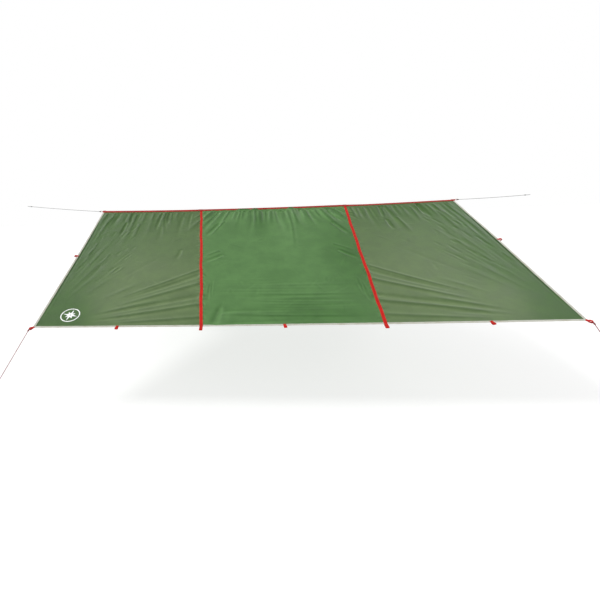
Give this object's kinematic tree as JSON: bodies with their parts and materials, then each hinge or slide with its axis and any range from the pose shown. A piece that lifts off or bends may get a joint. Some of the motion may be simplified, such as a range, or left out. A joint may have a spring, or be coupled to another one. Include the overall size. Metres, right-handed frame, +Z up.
{
  "type": "ridge-hung camping tarp",
  "caption": "Camping rain fly of sewn fabric panels hung over a ridge line, with webbing straps, hem tape, tie-out loops, guy lines, runners and pegs.",
  "frame": {"origin": "middle of the ridge line, at the underside of the ridge webbing", "axes": "+X along the ridge, +Z up, front slope comes down toward -Y"},
  "size_m": [5.954, 4.3731, 1.9774],
  "materials": {
    "mat_ridge_webbing": "woven webbing",
    "mat_ridge_loop_left": "woven webbing",
    "mat_ridge_loop_right": "woven webbing",
    "mat_ridge_cord_left": "braided cord",
    "mat_ridge_cord_right": "braided cord",
    "mat_panel_front_left": "coated woven sheet",
    "mat_panel_front_middle": "coated woven sheet",
    "mat_panel_front_right": "coated woven sheet",
    "mat_hem_front_eave": "woven binding tape",
    "mat_hem_front_left": "woven binding tape",
    "mat_hem_front_right": "woven binding tape",
    "mat_strap_front_left": "woven webbing",
    "mat_strap_front_right": "woven webbing",
    "mat_strap_loop_front_left": "woven webbing",
    "mat_strap_loop_front_right": "woven webbing",
    "mat_side_tab_front_left": "woven webbing",
    "mat_side_tab_front_right": "woven webbing",
    "mat_corner_loop_front_left": "woven webbing",
    "mat_corner_loop_front_right": "woven webbing",
    "mat_eave_tab_front_left": "woven webbing",
    "mat_eave_tab_front_middle": "woven webbing",
    "mat_eave_tab_front_right": "woven webbing",
    "mat_panel_rear_left": "coated woven sheet",
    "mat_panel_rear_middle": "coated woven sheet",
    "mat_panel_rear_right": "coated woven sheet",
    "mat_hem_rear_eave": "woven binding tape",
    "mat_hem_rear_left": "woven binding tape",
    "mat_hem_rear_right": "woven binding tape",
    "mat_strap_rear_left": "woven webbing",
    "mat_strap_rear_right": "woven webbing",
    "mat_strap_loop_rear_left": "woven webbing",
    "mat_strap_loop_rear_right": "woven webbing",
    "mat_side_tab_rear_left": "woven webbing",
    "mat_side_tab_rear_right": "woven webbing",
    "mat_corner_loop_rear_left": "woven webbing",
    "mat_corner_loop_rear_right": "woven webbing",
    "mat_eave_tab_rear_left": "woven webbing",
    "mat_eave_tab_rear_middle": "woven webbing",
    "mat_eave_tab_rear_right": "woven webbing",
    "mat_guy_line_left": "braided cord",
    "mat_guy_runner_left": "anodised",
    "mat_guy_peg_left": "plated wire",
    "mat_guy_line_right": "braided cord",
    "mat_guy_runner_right": "anodised",
    "mat_guy_peg_right": "plated wire"
  },
  "bodies": {
    "ridge": {"ridge_webbing": "mat_ridge_webbing", "ridge_loop_left": "mat_ridge_loop_left", "ridge_loop_right": "mat_ridge_loop_right", "ridge_cord_left": "mat_ridge_cord_left", "ridge_cord_right": "mat_ridge_cord_right"},
    "front_slope": {"panel_front_left": "mat_panel_front_left", "panel_front_middle": "mat_panel_front_middle", "panel_front_right": "mat_panel_front_right", "hem_front_eave": "mat_hem_front_eave", "hem_front_left": "mat_hem_front_left", "hem_front_right": "mat_hem_front_right", "strap_front_left": "mat_strap_front_left", "strap_front_right": "mat_strap_front_right", "strap_loop_front_left": "mat_strap_loop_front_left", "strap_loop_front_right": "mat_strap_loop_front_right", "side_tab_front_left": "mat_side_tab_front_left", "side_tab_front_right": "mat_side_tab_front_right", "corner_loop_front_left": "mat_corner_loop_front_left", "corner_loop_front_right": "mat_corner_loop_front_right", "eave_tab_front_left": "mat_eave_tab_front_left", "eave_tab_front_middle": "mat_eave_tab_front_middle", "eave_tab_front_right": "mat_eave_tab_front_right"},
    "rear_slope": {"panel_rear_left": "mat_panel_rear_left", "panel_rear_middle": "mat_panel_rear_middle", "panel_rear_right": "mat_panel_rear_right", "hem_rear_eave": "mat_hem_rear_eave", "hem_rear_left": "mat_hem_rear_left", "hem_rear_right": "mat_hem_rear_right", "strap_rear_left": "mat_strap_rear_left", "strap_rear_right": "mat_strap_rear_right", "strap_loop_rear_left": "mat_strap_loop_rear_left", "strap_loop_rear_right": "mat_strap_loop_rear_right", "side_tab_rear_left": "mat_side_tab_rear_left", "side_tab_rear_right": "mat_side_tab_rear_right", "corner_loop_rear_left": "mat_corner_loop_rear_left", "corner_loop_rear_right": "mat_corner_loop_rear_right", "eave_tab_rear_left": "mat_eave_tab_rear_left", "eave_tab_rear_middle": "mat_eave_tab_rear_middle", "eave_tab_rear_right": "mat_eave_tab_rear_right"},
    "guy_left": {"guy_line_left": "mat_guy_line_left"},
    "runner_left": {"guy_runner_left": "mat_guy_runner_left"},
    "peg_left": {"guy_peg_left": "mat_guy_peg_left"},
    "guy_right": {"guy_line_right": "mat_guy_line_right"},
    "runner_right": {"guy_runner_right": "mat_guy_runner_right"},
    "peg_right": {"guy_peg_right": "mat_guy_peg_right"}
  },
  "joints": [
    {"name": "front_slope_hinge", "type": "hinge", "parent": "ridge", "child": "front_slope", "pos_m": [0, 0, 0.014], "axis": [1, 0, 0], "range_deg": [-15, 15]},
    {"name": "rear_slope_hinge", "type": "hinge", "parent": "ridge", "child": "rear_slope", "pos_m": [0, 0, 0.014], "axis": [1, 0, 0], "range_deg": [-15, 15]},
    {"name": "guy_left_swing", "type": "hinge", "parent": "front_slope", "child": "guy_left", "pos_m": [-2.24207, -1.89818, -0.92692], "axis": [0.8053, -0.5929, 0], "range_deg": [-35, 35]},
    {"name": "runner_left_slide", "type": "slide", "parent": "guy_left", "child": "runner_left", "axis": [0.3854, 0.5234, 0.7599], "range_m": [0, 0.25]},
    {"name": "peg_left_tilt", "type": "hinge", "parent": "guy_left", "child": "peg_left", "pos_m": [-2.63, -2.42, -1.68], "axis": [0.8053, -0.5929, 0], "range_deg": [-8, 20]},
    {"name": "guy_right_swing", "type": "hinge", "parent": "front_slope", "child": "guy_right", "pos_m": [2.24207, -1.89818, -0.92692], "axis": [0.827, 0.5622, 0], "range_deg": [-35, 35]},
    {"name": "runner_right_slide", "type": "slide", "parent": "guy_right", "child": "runner_right", "axis": [-0.3334, 0.4903, 0.8053], "range_m": [0, 0.25]},
    {"name": "peg_right_tilt", "type": "hinge", "parent": "guy_right", "child": "peg_right", "pos_m": [2.56, -2.36, -1.68], "axis": [0.827, 0.5622, 0], "range_deg": [-8, 20]}
  ]
}
